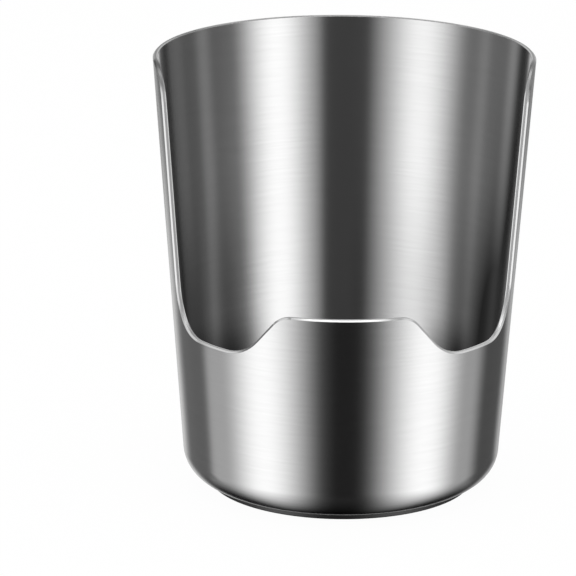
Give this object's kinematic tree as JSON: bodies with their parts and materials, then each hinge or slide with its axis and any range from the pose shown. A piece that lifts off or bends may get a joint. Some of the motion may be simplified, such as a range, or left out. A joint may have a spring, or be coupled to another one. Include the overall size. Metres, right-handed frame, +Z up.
{
  "type": "utensil holder",
  "caption": "Tapered round steel cup for upright utensils, with the upper front wall cut away to rounded dips beside a flat-topped tab, on a low round foot.",
  "frame": {"origin": "on the cup's axis, in the plane of the surface that the holder stands on", "axes": "+Z up along the cup's axis, -Y out through the middle of the cut-out front, +X to the viewer's right"},
  "size_m": [0.118, 0.1128, 0.137],
  "materials": {
    "brushed_steel": "fine brushing that runs round the cup, polished edges",
    "base_steel": "satin",
    "soft_pad": "matt"
  },
  "bodies": {
    "root": {"body_shell": "brushed_steel", "base_plate": "base_steel", "anti_slip_pad": "soft_pad"}
  },
  "joints": []
}
